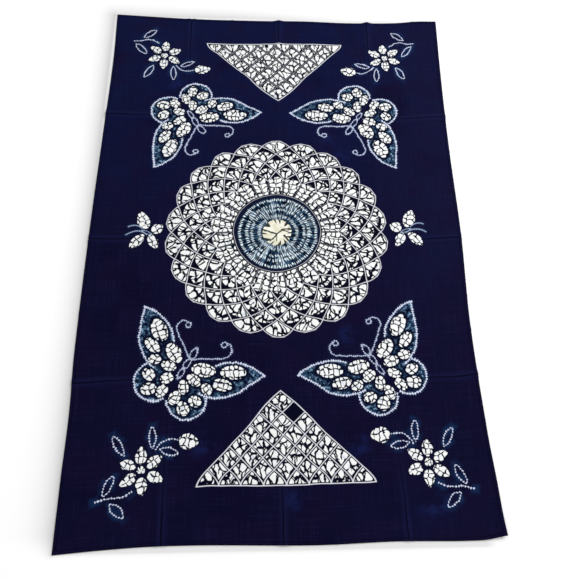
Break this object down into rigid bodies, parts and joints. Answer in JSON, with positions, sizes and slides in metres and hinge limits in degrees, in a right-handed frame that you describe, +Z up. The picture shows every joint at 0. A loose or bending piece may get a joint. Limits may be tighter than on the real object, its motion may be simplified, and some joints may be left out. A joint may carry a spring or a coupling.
{
  "type": "tie-dyed tablecloth",
  "caption": "Rectangular cotton tablecloth in tie-dyed indigo with a resist-stitched rosette, butterflies and flower sprays, laid flat with its storage creases.",
  "frame": {"origin": "under the middle of the laid-out cloth, on the surface that it lies on", "axes": "+Z up, off the surface; +Y along the cloth's length, towards the edge with the upper flower sprays; +X to the right"},
  "size_m": [1.1102, 1.7066, 0.0117],
  "materials": {
    "dyed_cotton": "matte woven cotton, dyed deep indigo with white resist motifs"
  },
  "bodies": {
    "root": {"tablecloth": "dyed_cotton"}
  },
  "joints": []
}
